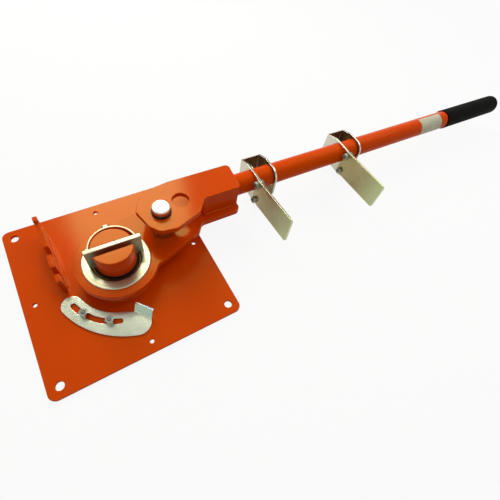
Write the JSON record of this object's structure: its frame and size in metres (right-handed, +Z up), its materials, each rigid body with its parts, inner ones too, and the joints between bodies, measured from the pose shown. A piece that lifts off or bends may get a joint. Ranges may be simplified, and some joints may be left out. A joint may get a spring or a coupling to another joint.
{
  "type": "bar bending machine",
  "caption": "Bench bender for reinforcing bar: a long lever turns a roller round a slotted post on a square base plate, with an angle stop and sliding length stops.",
  "frame": {"origin": "centre of the base plate's underside, below the post's axis", "axes": "+X along the lever and the plate's front edge, +Y to the back, +Z up along the post"},
  "size_m": [1.0189, 0.26, 0.0936],
  "materials": {
    "orange_paint": "gloss",
    "zinc_plate": "bright zinc plate with a pale yellow-green tint",
    "bronze": "oiled",
    "bright_steel": "ground",
    "dark_steel": "oiled",
    "black_rubber": "matte"
  },
  "bodies": {
    "base": {"base_plate": "orange_paint", "mandrel_post": "orange_paint", "thrust_washer": "bronze", "comb_bracket": "orange_paint", "former_plate": "zinc_plate", "former_strap": "zinc_plate", "strap_screw": "zinc_plate", "stop_studs": "zinc_plate", "stop_nuts": "zinc_plate"},
    "lever": {"lower_arm_plate": "orange_paint", "hub_bush": "bronze", "hub_ring": "zinc_plate", "upper_arm_plate": "orange_paint", "arm_cheek_front": "orange_paint", "arm_cheek_back": "orange_paint", "handle_tube": "orange_paint", "handle_grip": "black_rubber", "roller_pin": "bright_steel", "pin_circlip": "dark_steel"},
    "roller": {"bending_roller": "dark_steel"},
    "angle_stop": {"stop_plate": "zinc_plate"},
    "length_stop_1": {"clip_1_bracket": "zinc_plate", "clip_1_flag": "zinc_plate", "clip_1_bolts": "zinc_plate", "clip_1_nuts": "zinc_plate", "clip_1_screw": "zinc_plate"},
    "length_stop_2": {"clip_2_bracket": "zinc_plate", "clip_2_flag": "zinc_plate", "clip_2_bolts": "zinc_plate", "clip_2_nuts": "zinc_plate", "clip_2_screw": "zinc_plate"}
  },
  "joints": [
    {"name": "lever_swing", "type": "hinge", "parent": "base", "child": "lever", "pos_m": [0, 0, 0.033], "axis": [0, 0, 1], "range_deg": [-84, 80]},
    {"name": "roller_spin", "type": "hinge", "parent": "lever", "child": "roller", "pos_m": [0.07616, 0.02098, 0.0565], "axis": [0, 0, 1], "continuous": true},
    {"name": "stop_adjust", "type": "hinge", "parent": "base", "child": "angle_stop", "pos_m": [0, 0, 0.0066], "axis": [0, 0, 1], "range_deg": [-6, 0]},
    {"name": "clip_1_slide", "type": "slide", "parent": "lever", "child": "length_stop_1", "axis": [0.9998, -0.0209, 0], "range_m": [-0.019, 0.07]},
    {"name": "clip_2_slide", "type": "slide", "parent": "lever", "child": "length_stop_2", "axis": [0.9998, -0.0209, 0], "range_m": [-0.058, 0.164]}
  ]
}
